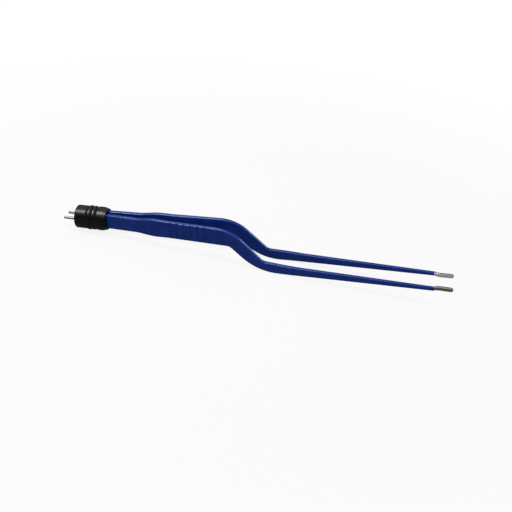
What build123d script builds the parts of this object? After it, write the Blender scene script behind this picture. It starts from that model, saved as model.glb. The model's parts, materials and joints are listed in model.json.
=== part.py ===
from build123d import *
from math import asin, atan2, cos, degrees, hypot, radians, sin, tan
import os

# Bipolar forceps with a bayonet step, in millimetres.
# The instrument's own directions are x from the rear face of the plug to the tips, y across the arms
# and z from the shaft up to the handle. The sizes below are given in them. The instrument lies on a
# flat surface, on the plug's rear edge and on the outside of both lower bends, so its planes are tilted.

# Length from the rear face of the plug to the tips, and of the bare tips
overall_length = 216.0
bare_length = 10.0

# Stretches of the plug, from its rear face to its mouth
barrel_length = 6.4
barrel_slope = 0.4
first_rib_width = 2.7
second_rib_width = 2.5
waist_length = 1.4
collar_length = 2.5
mouth_length = 2.8

# Stretches of an arm, from the mouth of the plug to the taper of its shaft
root_length = 19.3
flare_climb = 9.5
flare_fall = 8.5
handle_length = 36.3
step_length = 15.9
bend_length = 16.2
level_length = 7.6

# Side outline of a coated arm
root_width = 8.5
handle_width = 10.1
flare_rise = 0.4
shaft_width = 6.2
taper_width = 4.75
coat_end_width = 2.15
step_lean = 3.4
upper_lean = 0.6
step_drop = 18.25
shaft_rise = 0.7

# Radii of the side outline
flare_radius = 35.0
outer_bend_radius = 24.0
inner_bend_radius = 4.0
lower_bend_radius = 30.0
taper_radius = 60.0

# Plan outline of a coated arm
root_gap = 0.89
spread_gap = 6.6
tip_gap = 6.9
root_thickness = 2.7
spread_thickness = 2.5
end_thickness = 2.0
spread_radius = 170.0

# Insulating coat and the steel under it
coat_thickness = 0.3
coat_edge_radius = 0.7
coat_end_chamfer = 0.15
blade_edge_break = 0.25
tang_shoulder = 0.75
tang_edge_radius = 0.4
tang_clearance = 0.3
pivot_setback = 1.0
coat_lap = 2.5

# Bare tip
tip_width = 2.2
tip_thickness = 1.6
tip_swell = 1.4
pad_step = 1.0
pad_gap = 6.45
closed_gap = 0.1
tip_edge_radius = 0.2
tip_back_radius = 0.55

# Grip grooves across the outer face
groove_count = 6
groove_pitch = 4.05
groove_margin = 1.7
groove_radius = 1.1
groove_depth = 0.35

# Plug housing: its walls round the arms and the pin block, and what stands out from the mouth's radius
mouth_wall = 0.5
bore_wall = 1.15
waist_rise = 0.35
barrel_rise = 0.55
collar_rise = 0.75
first_rib_rise = 0.95
second_rib_rise = 0.8
rear_edge_radius = 0.6
collar_edge_radius = 0.7
mouth_edge_radius = 0.4
cavity_clearance = 0.35
cavity_corner_radius = 1.1
ring_margin = 0.01

# Pin block, spacer and contact pins
block_recess = 0.5
block_length = 5.4
block_clearance = 0.05
block_edge_break = 0.3
spacer_recess = 0.6
spacer_thickness = 0.9
spacer_edge_radius = 0.2
pin_radius = 0.78
pin_spacing = 6.4
pin_length = 7.45
pin_round_share = 0.95
pin_shank_radius = 1.05
pin_flange_radius = 1.3
pin_flange_length = 0.9
pin_flange_gap = 0.4
pin_clearance = 0.02

# Places along the instrument that the stretches add up to
first_rib_start = barrel_length + barrel_slope
second_rib_start = first_rib_start + first_rib_width
waist_end = second_rib_start + second_rib_width
collar_start = waist_end + waist_length
collar_end = collar_start + collar_length
plug_length = collar_end + mouth_length
flare_start = plug_length + root_length
flare_peak = flare_start + flare_climb
flare_end = flare_peak + flare_fall
groove_start = flare_end + groove_margin
step_start = flare_end + handle_length
step_end = step_start + step_length
spread_x = step_end + bend_length
taper_start = spread_x + level_length
coat_end = overall_length - bare_length
block_end = block_recess + block_length
bore_depth = block_end + pin_flange_length + pin_flange_gap

# Opening of the plug that the arms stand in, and the radii that its walls give
cavity_depth = root_width / 2 + cavity_clearance
cavity_reach = root_gap + root_thickness + cavity_clearance
cavity_corner = hypot(cavity_reach - cavity_corner_radius, cavity_depth - cavity_corner_radius)
mouth_radius = cavity_corner + cavity_corner_radius + mouth_wall
waist_radius = mouth_radius + waist_rise
barrel_radius = mouth_radius + barrel_rise
collar_radius = mouth_radius + collar_rise
first_rib_radius = mouth_radius + first_rib_rise
second_rib_radius = mouth_radius + second_rib_rise
bore_radius = waist_radius - bore_wall

# Lower edge of the shaft, from the step to the end of the coat
first_corner = (step_start, -handle_width / 2)
second_corner = (step_end, -step_drop)
lower_end = (coat_end, shaft_rise - step_drop)

# Centre of the lower bend, which touches the surface
down = Vector(second_corner[0] - first_corner[0], second_corner[1] - first_corner[1]).normalized()
along = Vector(lower_end[0] - second_corner[0], lower_end[1] - second_corner[1]).normalized()
bend_turn = radians(down.get_angle(along))
bend_tangent = lower_bend_radius * tan(bend_turn / 2)
bend_x = second_corner[0] - down.X * bend_tangent - down.Y * lower_bend_radius
bend_z = second_corner[1] - down.Y * bend_tangent + down.X * lower_bend_radius

# Centre of the rounded rear edge of the plug, which touches the surface too
rear_x = rear_edge_radius
rear_z = rear_edge_radius - barrel_radius

# Tilt of the instrument where it lies on the plug's rear edge and on the lower bends
span_x = bend_x - rear_x
span_z = bend_z - rear_z
tilt = asin((lower_bend_radius - rear_edge_radius) / hypot(span_x, span_z)) - atan2(span_z, span_x)
floor_height = rear_x * sin(tilt) + rear_z * cos(tilt) - rear_edge_radius

# Middle of the shaft at its end, where the tip's centre line runs
shaft_middle = lower_end[1] + coat_end_width / 2
tip_round_x = overall_length - tip_width / 2
front_reach = tip_round_x * cos(tilt) - shaft_middle * sin(tilt) + tip_width / 2
rear_reach = (pin_radius - pin_length) * cos(tilt) - pin_radius
middle_x = (front_reach + rear_reach) / 2

# Working planes: from the side, from above and across
along_x = Vector(cos(tilt), 0, sin(tilt))
upward = Vector(-sin(tilt), 0, cos(tilt))
corner = Vector(-middle_x, 0, -floor_height)
plan = Plane(origin=corner, x_dir=along_x, z_dir=upward)
side = Plane(origin=corner, x_dir=along_x, z_dir=(0, -1, 0))
up_axis = Axis(corner, upward)
long_axis = Axis(corner, along_x)


def cross(x):
    """Plane across the instrument at x, with its own x to the left arm and its y up."""
    return Plane(origin=corner + along_x * x, x_dir=(0, 1, 0), z_dir=along_x)


# Where the tang and the coat start, and the pivot about which the root of an arm bends
tang_start = bore_depth + tang_clearance
coat_start = plug_length - coat_lap
core_start = coat_start + coat_thickness
core_end = coat_end - coat_thickness
pivot_x = (tang_start + plug_length) / 2 - pivot_setback
reach = 40.0

# Faces of the tang, which runs parallel to the middle plane
spread_slope = (spread_gap - root_gap) / (spread_x - plug_length)
tang_inner = root_gap + coat_thickness - (plug_length - core_start) * spread_slope
tang_outer = tang_inner + root_thickness - 2 * coat_thickness
pivot_y = (tang_inner + tang_outer) / 2

# Angle through which an arm closes until its pad is at the middle plane
squeeze = asin((pad_gap - closed_gap) / (overall_length - pivot_x))


def side_outline():
    """Side outline of a coated arm, with its step down from the handle to the shaft."""
    lower_slope = (lower_end[1] - second_corner[1]) / (lower_end[0] - second_corner[0])
    taper_low = second_corner[1] + (taper_start - second_corner[0]) * lower_slope
    upper_points = [
        (coat_start, root_width / 2),
        (flare_start, root_width / 2),
        (flare_peak, handle_width / 2 + flare_rise),
        (flare_end, handle_width / 2),
        (step_start + upper_lean, handle_width / 2),
        (step_end + step_lean, shaft_width - step_drop),
        (taper_start, taper_low + taper_width),
        (coat_end, lower_end[1] + coat_end_width),
    ]
    lower_points = [
        (coat_start, -root_width / 2),
        (flare_start, -root_width / 2),
        (flare_peak, -handle_width / 2 - flare_rise),
        (flare_end, -handle_width / 2),
        first_corner,
        second_corner,
        lower_end,
    ]
    flare_radii = [flare_radius] * 3
    upper_radii = flare_radii + [outer_bend_radius, inner_bend_radius, taper_radius]
    lower_radii = flare_radii + [inner_bend_radius, lower_bend_radius]
    with BuildLine() as outline:
        upper = FilletPolyline(*upper_points, radius=upper_radii)
        lower = FilletPolyline(*lower_points, radius=lower_radii)
        Line(upper @ 0, lower @ 0)
        Line(upper @ 1, lower @ 1)
    make_face(outline.edges())


def plan_outline():
    """Plan outline of the left coated arm, which spreads from the plug and then runs almost straight."""
    root_y = root_gap - (plug_length - coat_start) * spread_slope
    inner_points = [(coat_start, root_y), (spread_x, spread_gap), (coat_end, tip_gap)]
    outer_points = [
        (coat_start, root_y + root_thickness),
        (spread_x, spread_gap + spread_thickness),
        (coat_end, tip_gap + end_thickness),
    ]
    with BuildLine() as outline:
        inner = FilletPolyline(*inner_points, radius=spread_radius)
        outer = FilletPolyline(*outer_points, radius=spread_radius)
        Line(inner @ 0, outer @ 0)
        Line(inner @ 1, outer @ 1)
    make_face(outline.edges())


def long_edges(piece):
    """Edges that run along an arm: neither straight across it nor straight up."""
    edges = piece.edges()
    return edges - edges.filter_by(Axis.Y) - edges.filter_by(up_axis)


def grip_grooves(inset):
    """Grip grooves across an outer face that lies inset inside the coat's own."""
    outer_slope = (spread_gap + spread_thickness - root_gap - root_thickness) / (spread_x - plug_length)
    with BuildSketch(plan) as cuts:
        for index in range(groove_count):
            x = groove_start + index * groove_pitch
            face_y = root_gap + root_thickness + (x - plug_length) * outer_slope - inset
            with Locations((x, face_y + groove_radius - groove_depth)):
                Circle(groove_radius)
    extrude(cuts.sketch, amount=reach, both=True, mode=Mode.SUBTRACT)


def finish(piece, label):
    """Name a finished piece and write it."""
    piece.part.label = label
    export_step(piece.part, f"parts/{label}.step")


# Bare tip: it leaves the coat as a narrow neck, swells to the flat pad, and is round at its back and end
neck_x = core_end - tip_swell
swell_x = coat_end + tip_swell
pad_x = swell_x + pad_step
neck_half = coat_end_width / 2 - coat_thickness
neck_inner = tip_gap + coat_thickness
neck_outer = tip_gap + end_thickness - coat_thickness
pad_slope = tan(squeeze)
pad_start = pad_gap - (overall_length - pad_x) * pad_slope
pad_end = pad_gap + tip_width * pad_slope
pad_edge_x = overall_length + tip_width
tip_middle = pad_gap + tip_thickness / 2
with BuildPart() as tip:
    with BuildSketch(side):
        with BuildLine():
            Polyline(
                (tip_round_x, shaft_middle - tip_width / 2),
                (swell_x, shaft_middle - tip_width / 2),
                (neck_x, shaft_middle - neck_half),
                (neck_x, shaft_middle + neck_half),
                (swell_x, shaft_middle + tip_width / 2),
                (tip_round_x, shaft_middle + tip_width / 2),
            )
            ThreePointArc(
                (tip_round_x, shaft_middle + tip_width / 2),
                (overall_length, shaft_middle),
                (tip_round_x, shaft_middle - tip_width / 2),
            )
        make_face()
    extrude(amount=reach, both=True)
    with BuildSketch(plan):
        with BuildLine():
            Polyline(
                (neck_x, neck_inner),
                (pad_x, pad_start),
                (pad_edge_x, pad_end),
                (pad_edge_x, pad_end + tip_thickness),
                (pad_x, pad_start + tip_thickness),
                (neck_x, neck_outer),
                close=True,
            )
        make_face()
    extrude(amount=reach, both=True, mode=Mode.INTERSECT)
    fillet(long_edges(tip).filter_by_position(Axis.Y, tip_middle, reach), radius=tip_back_radius)
    fillet(long_edges(tip).filter_by_position(Axis.Y, 0, tip_middle), radius=tip_edge_radius)

# Steel blade: tang, sprung strip and bare tip in one piece
with BuildPart() as left_blade:
    with BuildSketch(side):
        side_outline()
        offset(amount=-coat_thickness, kind=Kind.ARC, mode=Mode.REPLACE)
    extrude(amount=reach, both=True)
    with BuildSketch(plan):
        plan_outline()
        offset(amount=-coat_thickness, kind=Kind.ARC, mode=Mode.REPLACE)
    extrude(amount=reach, both=True, mode=Mode.INTERSECT)
    chamfer(long_edges(left_blade), length=blade_edge_break)
    grip_grooves(coat_thickness)
    with BuildSketch(cross(tang_start)):
        with Locations((pivot_y, 0)):
            RectangleRounded(tang_outer - tang_inner, root_width - 2 * tang_shoulder, tang_edge_radius)
    extrude(amount=core_start - tang_start)
    add(tip.part)

# Insulating coat, moulded on the blade from inside the plug to the bare tip
with BuildPart() as left_coat:
    with BuildSketch(side):
        side_outline()
    extrude(amount=reach, both=True)
    with BuildSketch(plan):
        plan_outline()
    extrude(amount=reach, both=True, mode=Mode.INTERSECT)
    fillet(long_edges(left_coat), radius=coat_edge_radius)
    front = left_coat.faces().sort_by(long_axis)[-1]
    chamfer(front.edges(), length=coat_end_chamfer)
    grip_grooves(0)
    add(left_blade.part, mode=Mode.SUBTRACT)

# The right arm is the left arm's mirror image
with BuildPart() as right_blade:
    mirror(left_blade.part, about=Plane.XZ)
with BuildPart() as right_coat:
    mirror(left_coat.part, about=Plane.XZ)

# Plug housing: a turned shell with two grip ribs, bored for the pin block and open for both arms
with BuildPart() as plug_housing:
    with BuildSketch(side):
        with BuildLine():
            Polyline(
                (first_rib_start, waist_radius),
                (barrel_length, barrel_radius),
                (0, barrel_radius),
                (0, 0),
                (plug_length, 0),
                (plug_length, mouth_radius),
                (collar_end, collar_radius),
                (collar_start, collar_radius),
                (waist_end, waist_radius),
            )
            for rib_start, rib_width, rib_radius in (
                (first_rib_start, first_rib_width, first_rib_radius),
                (second_rib_start, second_rib_width, second_rib_radius),
            ):
                ThreePointArc(
                    (rib_start, waist_radius),
                    (rib_start + rib_width / 2, rib_radius),
                    (rib_start + rib_width, waist_radius),
                )
        make_face()
    revolve(axis=long_axis)
    for ring_x, ring_radius in (
        (0, rear_edge_radius),
        (collar_end, collar_edge_radius),
        (plug_length, mouth_edge_radius),
    ):
        rings = plug_housing.edges().filter_by(GeomType.CIRCLE)
        fillet(rings.filter_by_position(long_axis, ring_x - ring_margin, ring_x + ring_margin), radius=ring_radius)
    with BuildSketch(cross(0)):
        Circle(bore_radius)
    extrude(amount=bore_depth, mode=Mode.SUBTRACT)
    with BuildSketch(cross(bore_depth)):
        RectangleRounded(2 * cavity_reach, 2 * cavity_depth, cavity_corner_radius)
    extrude(amount=plug_length - bore_depth, mode=Mode.SUBTRACT)

# Pin block: the insulator that closes the rear of the housing and holds the shanks of both pins
with BuildPart() as pin_block:
    with BuildSketch(cross(block_recess)):
        Circle(bore_radius - block_clearance)
        with GridLocations(pin_spacing, 0, 2, 1):
            Circle(pin_shank_radius + pin_clearance, mode=Mode.SUBTRACT)
    extrude(amount=block_length)
    rims = pin_block.edges().filter_by(GeomType.CIRCLE).group_by(SortBy.RADIUS)[-1]
    chamfer(rims, length=block_edge_break)

# Blade spacer: the insulating plate between the tangs, from the pin block to the mouth
with BuildPart() as blade_spacer:
    with BuildSketch(cross(block_end)):
        Rectangle(spacer_thickness, 2 * cavity_depth)
    extrude(amount=plug_length - spacer_recess - block_end)
    front = blade_spacer.faces().sort_by(long_axis)[-1]
    fillet(front.edges().filter_by(up_axis), radius=spacer_edge_radius)

# Contact pins: round-ended rods with a thicker shank in the block and a flange against its inner face
with BuildPart() as left_pin:
    with BuildSketch(cross(-pin_length)):
        with Locations((pin_spacing / 2, 0)):
            Circle(pin_radius)
    extrude(amount=pin_length + block_recess)
    rod_end = left_pin.faces().sort_by(long_axis)[0]
    fillet(rod_end.edges(), radius=pin_radius * pin_round_share)
    with BuildSketch(cross(block_recess)):
        with Locations((pin_spacing / 2, 0)):
            Circle(pin_shank_radius)
    extrude(amount=block_length)
    with BuildSketch(cross(block_end)):
        with Locations((pin_spacing / 2, 0)):
            Circle(pin_flange_radius)
    extrude(amount=pin_flange_length)
with BuildPart() as right_pin:
    mirror(left_pin.part, about=Plane.XZ)

os.makedirs("parts", exist_ok=True)
finish(plug_housing, "plug_housing")
finish(pin_block, "pin_block")
finish(blade_spacer, "blade_spacer")
finish(left_pin, "left_pin")
finish(right_pin, "right_pin")
finish(left_blade, "left_blade")
finish(left_coat, "left_coat")
finish(right_blade, "right_blade")
finish(right_coat, "right_coat")
print(f"tilt {degrees(tilt):.3f} degrees, floor {floor_height:.3f}, middle {middle_x:.3f}")
print(f"pivot {pivot_x:.3f}, {pivot_y:.3f}, squeeze {degrees(squeeze):.3f} degrees")
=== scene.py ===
import json
from math import asin, cos, pi, radians, sin

import bpy
from bpy.props import FloatProperty, FloatVectorProperty, IntProperty, PointerProperty
from bpy.types import Operator, Panel, PropertyGroup
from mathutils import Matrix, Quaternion, Vector

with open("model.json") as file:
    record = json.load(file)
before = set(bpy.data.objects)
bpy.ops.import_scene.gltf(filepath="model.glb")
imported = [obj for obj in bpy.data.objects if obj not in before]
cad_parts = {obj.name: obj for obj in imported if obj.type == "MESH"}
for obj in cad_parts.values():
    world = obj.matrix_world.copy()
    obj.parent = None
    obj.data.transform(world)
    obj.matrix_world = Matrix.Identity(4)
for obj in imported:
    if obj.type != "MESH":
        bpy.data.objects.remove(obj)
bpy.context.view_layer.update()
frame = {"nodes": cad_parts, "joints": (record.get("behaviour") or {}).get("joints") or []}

bl_info = {
    "name": "Bipolar forceps finishes",
    "version": (1, 0, 0),
    "blender": (4, 5, 0),
    "location": "3D View > Sidebar > Forceps",
    "description": "Gives a pair of bayonet bipolar forceps its finishes and its stage",
    "category": "Object",
}

# The instrument's own line rises from the plug to the tips. Both arms' hinges stand square to it.
left_joint, right_joint = frame["joints"]
hinge_up = Vector(right_joint["axis"])
tilt = asin(-hinge_up.x)
root = (Vector(left_joint["pos_m"]) + Vector(right_joint["pos_m"])) / 2

WHITE = (1.0, 1.0, 1.0, 1.0)


class Field:
    """A value that changes over a surface: an output socket that can be used in sums like a number."""

    def __init__(self, graph, socket):
        self.graph = graph
        self.socket = socket

    def output(self, name):
        """Another output of the same node."""
        return Field(self.graph, self.socket.node.outputs[name])

    def __add__(self, other):
        return self.graph.math("ADD", self, other)

    def __sub__(self, other):
        return self.graph.math("SUBTRACT", self, other)

    def __rsub__(self, other):
        return self.graph.math("SUBTRACT", other, self)

    def __mul__(self, other):
        return self.graph.math("MULTIPLY", self, other)

    def __truediv__(self, other):
        return self.graph.math("DIVIDE", self, other)

    def __rtruediv__(self, other):
        return self.graph.math("DIVIDE", other, self)

    __radd__ = __add__
    __rmul__ = __mul__

    def clamped(self):
        """The value kept between 0 and 1."""
        return self.graph.node("ShaderNodeClamp", {}, {"Value": self})

    def step(self, low, high):
        """Rises smoothly from 0 at low to 1 at high."""
        return self.graph.node(
            "ShaderNodeMapRange",
            {"interpolation_type": "SMOOTHSTEP"},
            {"Value": self, "From Min": low, "From Max": high},
        )

    def swing(self, width):
        """A cloud of values about one half, turned into a change about 0 of this width."""
        return (self - 0.5) * width


class Graph:
    """The nodes of one material or of the world."""

    def __init__(self, block):
        block.use_nodes = True
        self.tree = block.node_tree
        self.tree.nodes.clear()

    def node(self, kind, settings, inputs, output=0):
        """Make a node: its settings first, then the values or links of its sockets."""
        made = self.tree.nodes.new(kind)
        for name, value in settings.items():
            setattr(made, name, value)
        for key, value in inputs.items():
            socket = self.socket_of(made.inputs, key)
            if isinstance(value, Field):
                self.tree.links.new(value.socket, socket)
            else:
                socket.default_value = value
        return Field(self, self.socket_of(made.outputs, output)) if made.outputs else None

    @staticmethod
    def socket_of(sockets, key):
        """The socket with this number, identifier or name."""
        if isinstance(key, int):
            return sockets[key]
        return next((socket for socket in sockets if socket.identifier == key), None) or sockets[key]

    def math(self, operation, *values):
        """A Math node on these values."""
        return self.node("ShaderNodeMath", {"operation": operation}, dict(enumerate(values)))

    def place(self):
        """Object coordinates, which on every piece are places in the frame."""
        return self.node("ShaderNodeTexCoord", {}, {}, "Object")

    def coordinate(self, vector, axis):
        """One coordinate of a vector."""
        return self.node("ShaderNodeSeparateXYZ", {}, {"Vector": vector}, axis)

    def lengthwise(self, cell=(1.0, 1.0, 1.0)):
        """Coordinates along, across and up the instrument from its root, counted in cells of this size."""
        return self.node(
            "ShaderNodeMapping",
            {"vector_type": "TEXTURE"},
            {"Vector": self.place(), "Location": root, "Rotation": (0, -tilt, 0), "Scale": cell},
        )

    def outward(self):
        """1 on faces turned away from the middle plane, -1 on those that face it, 0 on the edges between."""
        across = self.coordinate(self.place(), "Y")
        turned = self.coordinate(self.node("ShaderNodeTexCoord", {}, {}, "Normal"), "Y")
        return self.math("SIGN", across) * turned

    def noise(self, vector, scale=1.0, detail=2.0, roughness=0.5):
        """A seedless cloud of values about one half."""
        return self.node(
            "ShaderNodeTexNoise",
            {"noise_dimensions": "3D"},
            {"Vector": vector, "Scale": scale, "Detail": detail, "Roughness": roughness},
        )

    def blend(self, factor, first, second):
        """Mix two colours."""
        return self.node(
            "ShaderNodeMix",
            {"data_type": "RGBA", "blend_type": "MIX"},
            {"Factor_Float": factor, "A_Color": first, "B_Color": second},
            "Result_Color",
        )

    def bump(self, height, distance):
        """A normal raised by a height from 0 to 1 times the distance."""
        return self.node("ShaderNodeBump", {}, {"Height": height, "Distance": distance})

    def surface(self, base, roughness, normal, **steady):
        """A Principled surface. What changes over it comes as fields, the rest as the shader's own values."""
        shader = self.node(
            "ShaderNodeBsdfPrincipled",
            {},
            {"Base Color": base, "Roughness": roughness, "Normal": normal, **steady},
        )
        self.node("ShaderNodeOutputMaterial", {}, {"Surface": shader})


def opaque(colour):
    """A colour with its alpha."""
    return (*colour, 1.0)


def scaled(colour, share):
    """A colour made darker or lighter by a share, with its alpha."""
    return opaque(share * part for part in colour)


def mixed(mask, outside, inside):
    """The first number where the mask is 0 and the second where it is 1."""
    return outside * (1 - mask) + inside * mask


def new_material(name):
    """An empty node material and its graph."""
    material = bpy.data.materials.new(name)
    return material, Graph(material)


def give(material, *names):
    """Give the material to these CAD nodes."""
    for name in names:
        for slot in frame["nodes"][name].material_slots:
            slot.material = material


class CoatSettings(PropertyGroup):
    """The nylon coats of both arms"""

    shade: FloatVectorProperty(
        name="Colour",
        description="Colour of the nylon",
        subtype="COLOR",
        default=(0.01, 0.033, 0.27),
    )
    light_shade: FloatVectorProperty(
        name="Pale clouds",
        description="Colour where the nylon is thin",
        subtype="COLOR",
        default=(0.014, 0.047, 0.34),
    )
    gloss: FloatProperty(
        name="Roughness",
        description="Roughness of the nylon",
        subtype="FACTOR",
        default=0.26,
        min=0,
        max=1,
    )
    cloud: FloatProperty(
        name="Cloud size", description="Size of the clouds", default=0.007, unit="LENGTH"
    )
    peel: FloatProperty(
        name="Peel size", description="Size of the orange peel", default=0.0009, unit="LENGTH"
    )
    peel_height: FloatProperty(
        name="Peel height", description="Height of the orange peel", default=0.000006, unit="LENGTH"
    )
    groove_start: FloatProperty(
        name="First groove",
        description="From the arms' hinges to the first grip groove",
        default=0.0456,
        unit="LENGTH",
    )
    groove_pitch: FloatProperty(
        name="Groove pitch",
        description="From one grip groove to the next",
        default=0.00405,
        unit="LENGTH",
    )
    groove_count: IntProperty(
        name="Grooves", description="Number of grip grooves on each arm", default=6, min=1
    )
    groove_gloss: FloatProperty(
        name="Groove roughness",
        description="Roughness of the nylon in the grip grooves",
        subtype="FACTOR",
        default=0.5,
        min=0,
        max=1,
    )
    # Painted shade: the darker nylon colour laid into the grip grooves.
    groove_painted_shade: FloatVectorProperty(
        name="Groove colour",
        description="Colour of the duller nylon in the grip grooves",
        subtype="COLOR",
        default=(0.008, 0.026, 0.2),
    )


class SteelSettings(PropertyGroup):
    """The steel blades and their bare tips"""

    shade: FloatVectorProperty(
        name="Colour",
        description="Colour of the satin steel",
        subtype="COLOR",
        default=(0.26, 0.256, 0.252),
    )
    gloss: FloatProperty(
        name="Roughness",
        description="Roughness of the steel",
        subtype="FACTOR",
        default=0.27,
        min=0,
        max=1,
    )
    pad_shade: FloatVectorProperty(
        name="Pad colour",
        description="Colour of the blasted pads",
        subtype="COLOR",
        default=(0.68, 0.66, 0.66),
    )
    pad_gloss: FloatProperty(
        name="Pad roughness",
        description="Roughness of the pads",
        subtype="FACTOR",
        default=0.62,
        min=0,
        max=1,
    )
    pad_reach: FloatProperty(
        name="Pad reach",
        description="How far from the middle the blasting goes",
        default=0.0074,
        unit="LENGTH",
    )
    line_length: FloatProperty(
        name="Line length", description="Length of the brushed lines", default=0.004, unit="LENGTH"
    )
    line_width: FloatProperty(
        name="Line width", description="Width of the brushed lines", default=0.00006, unit="LENGTH"
    )


class PlugSettings(PropertyGroup):
    """The plug, what it holds and its contact pins"""

    shade: FloatVectorProperty(
        name="Colour",
        description="Colour of the moulded plug",
        subtype="COLOR",
        default=(0.0025, 0.0025, 0.0025),
    )
    gloss: FloatProperty(
        name="Roughness",
        description="Roughness of the plug",
        subtype="FACTOR",
        default=0.3,
        min=0,
        max=1,
    )
    grain: FloatProperty(
        name="Grain size", description="Size of the moulded grain", default=0.0004, unit="LENGTH"
    )
    pin_shade: FloatVectorProperty(
        name="Pin colour",
        description="Colour of the plated pins",
        subtype="COLOR",
        default=(0.22, 0.216, 0.21),
    )


class StageSettings(PropertyGroup):
    """The floor, the light and the camera"""

    lens: FloatProperty(
        name="Lens", description="Focal length of the camera", default=59.33, unit="CAMERA"
    )
    sky: FloatProperty(
        name="Sky", description="Strength of the soft light all round", default=0.45
    )
    key: FloatProperty(
        name="Key", description="Power of the key lamp", default=1.3, unit="POWER"
    )
    shine: FloatProperty(
        name="Shine",
        description="Power of the lamp beyond the plug that only shows in the gloss",
        default=6.6,
        unit="POWER",
    )
    back: FloatProperty(
        name="Back", description="Power of the lamp behind", default=0.2, unit="POWER"
    )
    rim: FloatProperty(
        name="Rim",
        description="Power of the lamp that lines the steps, and only shows in the gloss",
        default=0.3,
        unit="POWER",
    )
    whiteness: FloatProperty(
        name="Whiteness",
        description="Share of plain white in the floor near the object, as the camera sees it",
        subtype="FACTOR",
        default=0.87,
        min=0,
        max=1,
    )


def grip_grooves(graph, settings):
    """1 in the grip grooves and where they cross the outer edges, 0 elsewhere."""
    valley_floor, valley_edge = 0.1, 0.22  # half widths, counted in pitches
    edge_turn, face_turn = 0.05, 0.3
    along = graph.coordinate(graph.lengthwise(), "X")
    turns = (along - settings.groove_start) / settings.groove_pitch
    nearest = graph.math("ROUND", turns)
    nearest = graph.math("MAXIMUM", nearest, 0.0)
    nearest = graph.math("MINIMUM", nearest, settings.groove_count - 1.0)
    away = turns - nearest
    valley = 1 - graph.math("ABSOLUTE", away).step(valley_floor, valley_edge)
    return valley * graph.outward().step(edge_turn, face_turn)


def coat_nylon(settings):
    """Deep blue nylon: faint clouds, a skin like orange peel, a soft gloss, and rougher grip grooves with
    painted shade in them.
    """
    cloud_low, cloud_high = 0.35, 0.7
    handled_cell = (0.02, 0.003, 0.003)
    handled_swing = 0.22
    # How far the grooves' colour goes towards the painted shade.
    groove_painted_shade_share = 0.45
    shine_level = 0.36
    shine_tint = (0.5, 0.8, 1.0)
    material, graph = new_material("coat_nylon_blue")
    place = graph.place()
    clouds = graph.noise(place, 1 / settings.cloud, detail=3.0).step(cloud_low, cloud_high)
    base = graph.blend(clouds, opaque(settings.shade), opaque(settings.light_shade))
    peel = graph.noise(place, 1 / settings.peel, detail=1.0)
    handling = graph.noise(graph.lengthwise(handled_cell), detail=3.0)
    grooves = grip_grooves(graph, settings)
    # Painted shade: the base colour is darkened in the grip grooves.
    base = graph.blend(grooves * groove_painted_shade_share, base, opaque(settings.groove_painted_shade))
    roughness = mixed(grooves, settings.gloss + handling.swing(handled_swing), settings.groove_gloss)
    steady = {"Specular IOR Level": shine_level, "Specular Tint": opaque(shine_tint)}
    graph.surface(base, roughness, graph.bump(peel, settings.peel_height), **steady)
    return material


def blade_steel(settings):
    """Satin stainless steel, brushed along the blade, with blasted pads on the faces where the tips meet."""
    pad_fade = 0.0003
    pad_turn_low, pad_turn_high = 0.5, 0.85
    patches_per_metre, grits_per_metre = 600.0, 9000.0
    patch_share = 0.5
    dark_share = 0.72
    brushed_swing = 0.24
    relief = 0.000004
    material, graph = new_material("blade_steel_satin")
    across = graph.coordinate(graph.place(), "Y")
    near = 1 - graph.math("ABSOLUTE", across).step(settings.pad_reach - pad_fade, settings.pad_reach)
    pad = near * (graph.outward() * -1).step(pad_turn_low, pad_turn_high)
    cell = (settings.line_length, settings.line_width, settings.line_width)
    lines = graph.noise(graph.lengthwise(cell), detail=3.0, roughness=0.7)
    patches = graph.noise(graph.place(), patches_per_metre)
    brushed = (lines + patches * patch_share - patch_share / 2).clamped()
    base = graph.blend(brushed, scaled(settings.shade, dark_share), opaque(settings.shade))
    grit = graph.noise(graph.place(), grits_per_metre, roughness=0.6)
    base = graph.blend(pad, base, opaque(settings.pad_shade))
    roughness = mixed(pad, settings.gloss + lines.swing(brushed_swing), settings.pad_gloss)
    graph.surface(base, roughness, graph.bump(mixed(pad, lines, grit), relief), Metallic=1.0)
    return material


def plug_plastic(settings):
    """Black moulded plastic with a fine spark-eroded grain, a little polished by handling."""
    rubs_per_metre = 260.0
    rub_low, rub_high = 0.42, 0.68
    worn_share = 2.2
    grain_swing, rub_polish = 0.15, 0.06
    relief = 0.00001
    shine_level = 0.24
    material, graph = new_material("plug_plastic_black")
    place = graph.place()
    grain = graph.noise(place, 1 / settings.grain, roughness=0.6)
    rubbed = graph.noise(place, rubs_per_metre, detail=3.0).step(rub_low, rub_high)
    base = graph.blend(rubbed, opaque(settings.shade), scaled(settings.shade, worn_share))
    roughness = settings.gloss + grain.swing(grain_swing) - rubbed * rub_polish
    graph.surface(base, roughness, graph.bump(grain, relief), **{"Specular IOR Level": shine_level})
    return material


def block_plastic(settings):
    """The insulator inside the plug: the same black, duller and with flow marks."""
    flow_cell = (0.004, 0.0012, 0.0012)
    dull_share = 1.8
    gloss, flow_swing = 0.5, 0.2
    relief = 0.00001
    shine_level = 0.15
    material, graph = new_material("block_plastic_dull")
    flow = graph.noise(graph.lengthwise(flow_cell), detail=4.0)
    base = graph.blend(flow, opaque(settings.shade), scaled(settings.shade, dull_share))
    roughness = gloss + flow.swing(flow_swing)
    graph.surface(base, roughness, graph.bump(flow, relief), **{"Specular IOR Level": shine_level})
    return material


def pin_metal(settings):
    """Nickel plate over fine turning rings."""
    ring_cell = (0.00012, 0.004, 0.004)
    dark_share = 0.7
    gloss, ring_swing = 0.38, 0.16
    relief = 0.000002
    material, graph = new_material("pin_metal_nickel")
    rings = graph.noise(graph.lengthwise(ring_cell))
    base = graph.blend(rings, scaled(settings.pin_shade, dark_share), opaque(settings.pin_shade))
    graph.surface(base, gloss + rings.swing(ring_swing), graph.bump(rings, relief), Metallic=1.0)
    return material


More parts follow.
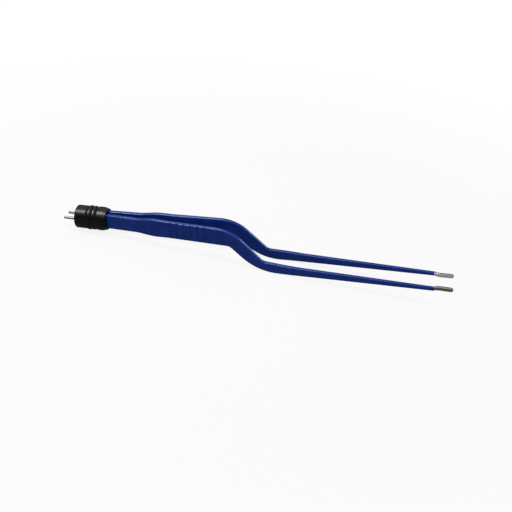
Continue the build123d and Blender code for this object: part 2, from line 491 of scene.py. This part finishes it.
class FORCEPS_OT_coats(Operator):
    """Finish the nylon coats of both arms"""

    bl_idname = "forceps.coats"
    bl_label = "Coats"

    def execute(self, context):
        give(coat_nylon(context.scene.forceps_coat), "left_coat", "right_coat")
        return {"FINISHED"}


class FORCEPS_OT_blades(Operator):
    """Finish the steel blades and their bare tips"""

    bl_idname = "forceps.blades"
    bl_label = "Blades"

    def execute(self, context):
        give(blade_steel(context.scene.forceps_steel), "left_blade", "right_blade")
        return {"FINISHED"}


class FORCEPS_OT_plug(Operator):
    """Finish the plug's housing"""

    bl_idname = "forceps.plug"
    bl_label = "Plug"

    def execute(self, context):
        give(plug_plastic(context.scene.forceps_plug), "plug_housing")
        return {"FINISHED"}


class FORCEPS_OT_insulators(Operator):
    """Finish the pin block and the spacer between the blades"""

    bl_idname = "forceps.insulators"
    bl_label = "Insulators"

    def execute(self, context):
        give(block_plastic(context.scene.forceps_plug), "pin_block", "blade_spacer")
        return {"FINISHED"}


class FORCEPS_OT_pins(Operator):
    """Finish both contact pins"""

    bl_idname = "forceps.pins"
    bl_label = "Contact pins"

    def execute(self, context):
        give(pin_metal(context.scene.forceps_plug), "left_pin", "right_pin")
        return {"FINISHED"}


def seen_directly(graph, in_mirrors=1.0):
    """1 for rays from the camera and through glass, this share for those from mirrors, 0 for other light."""
    rays = graph.node("ShaderNodeLightPath", {}, {}, "Is Camera Ray")
    return (rays + rays.output("Is Glossy Ray") * in_mirrors + rays.output("Is Transmission Ray")).clamped()


def white_world(scene, sky):
    """Even soft light all round that shows as plain white."""
    world = bpy.data.worlds.new("white_studio")
    scene.world = world
    graph = Graph(world)
    light = graph.node("ShaderNodeBackground", {}, {"Color": WHITE, "Strength": sky})
    white = graph.node("ShaderNodeBackground", {}, {"Color": WHITE, "Strength": 1.0})
    shown = graph.node("ShaderNodeMixShader", {}, {0: seen_directly(graph), 1: light, 2: white})
    graph.node("ShaderNodeOutputWorld", {}, {"Surface": shown})


def floor_white(whiteness):
    """Pale floor that keeps the object's shadow and fades to plain white away from it."""
    in_bounces, to_the_eye = (0.22, 0.22, 0.22), (0.95, 0.95, 0.95)
    fade_start, fade_end = 0.12, 0.4
    material, graph = new_material("floor_white")
    seen = seen_directly(graph, in_mirrors=0.1)
    pale = graph.blend(seen, opaque(in_bounces), opaque(to_the_eye))
    paper = graph.node("ShaderNodeBsdfDiffuse", {}, {"Color": pale})
    white = graph.node("ShaderNodeEmission", {}, {"Color": WHITE, "Strength": 1.0})
    place = graph.place()
    distance = graph.node("ShaderNodeVectorMath", {"operation": "LENGTH"}, {"Vector": place}, "Value")
    share = seen * (whiteness + (1 - whiteness) * distance.step(fade_start, fade_end))
    shown = graph.node("ShaderNodeMixShader", {}, {0: share, 1: paper, 2: white})
    graph.node("ShaderNodeOutputMaterial", {}, {"Surface": shown})
    return material


def add_mesh(scene, name, corners, faces, material):
    """An object made of these corners and faces in one material."""
    mesh = bpy.data.meshes.new(name)
    mesh.from_pydata(corners, [], faces)
    mesh.materials.append(material)
    made = bpy.data.objects.new(name, mesh)
    scene.collection.objects.link(made)
    return made


def add_floor(scene, whiteness):
    """A wide flat floor under the object."""
    half = 4.0
    corners = [(-half, -half, 0), (half, -half, 0), (half, half, 0), (-half, half, 0)]
    floor = add_mesh(scene, "floor", corners, [(0, 1, 2, 3)], floor_white(whiteness))


def band_dark():
    """The faint even glow of a dark studio wall."""
    glow = 0.12
    material, graph = new_material("band_dark")
    shade = graph.node("ShaderNodeEmission", {}, {"Color": WHITE, "Strength": glow})
    graph.node("ShaderNodeOutputMaterial", {}, {"Surface": shade})
    return material


def add_dark_band(scene):
    """A dark wall round the floor that only shows in mirrors, as a studio's own walls do."""
    sides, radius, low, high = 48, 1.5, 0.02, 1.2
    corners = []
    for index in range(sides):
        turn = 2 * pi * index / sides
        corners += [(radius * cos(turn), radius * sin(turn), height) for height in (low, high)]
    count = len(corners)
    faces = [(k, (k + 2) % count, (k + 3) % count, k + 1) for k in range(0, count, 2)]
    band = add_mesh(scene, "dark_band", corners, faces, band_dark())
    band.visible_camera = False
    band.visible_diffuse = False
    band.visible_shadow = False


def add_lamp(scene, name, power, place, aim, size, only_in_gloss=False):
    """A soft lamp of this width and depth at a place, turned to what it lights."""
    lamp = bpy.data.lights.new(name, "AREA")
    lamp.shape = "RECTANGLE"
    lamp.size, lamp.size_y = size
    lamp.energy = power
    holder = bpy.data.objects.new(name, lamp)
    holder.location = place
    holder.rotation_euler = (Vector(aim) - Vector(place)).to_track_quat("-Z", "Y").to_euler()
    holder.visible_diffuse = not only_in_gloss
    scene.collection.objects.link(holder)


def add_lamps(scene, settings):
    """A key above the plug and handles, a shine beyond the plug, a lamp behind and one for the steps."""
    add_lamp(
        scene,
        "key",
        settings.key,
        place=(-0.16, -0.07, 0.6),
        aim=(-0.16, 0.0, 0.0),
        size=(0.4, 0.2),
    )
    add_lamp(
        scene,
        "shine",
        settings.shine,
        place=(-0.265, -0.13, 0.6),
        aim=(-0.265, 0.0, 0.0),
        size=(0.29, 0.18),
        only_in_gloss=True,
    )
    add_lamp(
        scene,
        "back",
        settings.back,
        place=(-0.24, 0.5, 0.36),
        aim=(-0.1, 0.0, 0.01),
        size=(0.32, 0.25),
    )
    add_lamp(
        scene,
        "rim",
        settings.rim,
        place=(0.3, 0.5, 0.2),
        aim=(0.0, 0.0, 0.01),
        size=(0.16, 0.16),
        only_in_gloss=True,
    )


def add_camera(scene, lens):
    """The photograph's view: from the front and above, a little from the right and a little rolled."""
    place = Vector((0.0689, -0.4006, 0.2552))
    aim = Vector((0.0034, 0.0, 0.0122))
    roll = radians(6.42)
    camera = bpy.data.cameras.new("camera")
    camera.lens = lens
    camera.sensor_width = 36.0
    camera.shift_x = -0.007
    camera.shift_y = -0.0247
    camera.clip_start = 0.01
    holder = bpy.data.objects.new("camera", camera)
    holder.location = place
    holder.rotation_mode = "QUATERNION"
    holder.rotation_quaternion = (aim - place).to_track_quat("-Z", "Y") @ Quaternion((0, 0, 1), roll)
    scene.collection.objects.link(holder)
    scene.camera = holder


class FORCEPS_OT_stage(Operator):
    """Make the white floor, the soft light and the camera"""

    bl_idname = "forceps.stage"
    bl_label = "Stage"

    def execute(self, context):
        scene = context.scene
        settings = scene.forceps_stage
        scene.view_settings.view_transform = "Standard"
        white_world(scene, settings.sky)
        add_floor(scene, settings.whiteness)
        add_lamps(scene, settings)
        add_dark_band(scene)
        add_camera(scene, settings.lens)
        return {"FINISHED"}


SETTINGS = {
    "forceps_coat": CoatSettings,
    "forceps_steel": SteelSettings,
    "forceps_plug": PlugSettings,
    "forceps_stage": StageSettings,
}
OPERATORS = (
    FORCEPS_OT_coats,
    FORCEPS_OT_blades,
    FORCEPS_OT_plug,
    FORCEPS_OT_insulators,
    FORCEPS_OT_pins,
    FORCEPS_OT_stage,
)


class FORCEPS_PT_panel(Panel):
    """Lists the steps and the values that they use"""

    bl_idname = "FORCEPS_PT_panel"
    bl_label = "Bipolar forceps"
    bl_space_type = "VIEW_3D"
    bl_region_type = "UI"
    bl_category = "Forceps"

    def draw(self, context):
        for operator in OPERATORS:
            self.layout.operator(operator.bl_idname)
        for group in SETTINGS:
            settings = getattr(context.scene, group)
            box = self.layout.box()
            for name in settings.bl_rna.properties.keys():
                if name not in ("rna_type", "name"):
                    box.prop(settings, name)


CLASSES = (*SETTINGS.values(), *OPERATORS, FORCEPS_PT_panel)


def register():
    for kind in CLASSES:
        bpy.utils.register_class(kind)
    for name, kind in SETTINGS.items():
        setattr(bpy.types.Scene, name, PointerProperty(type=kind))


def unregister():
    for name in SETTINGS:
        delattr(bpy.types.Scene, name)
    for kind in reversed(CLASSES):
        bpy.utils.unregister_class(kind)


def main():
    register()
    for operator in OPERATORS:
        group, name = operator.bl_idname.split(".")
        getattr(getattr(bpy.ops, group), name)()


if __name__ == "__main__":
    main()
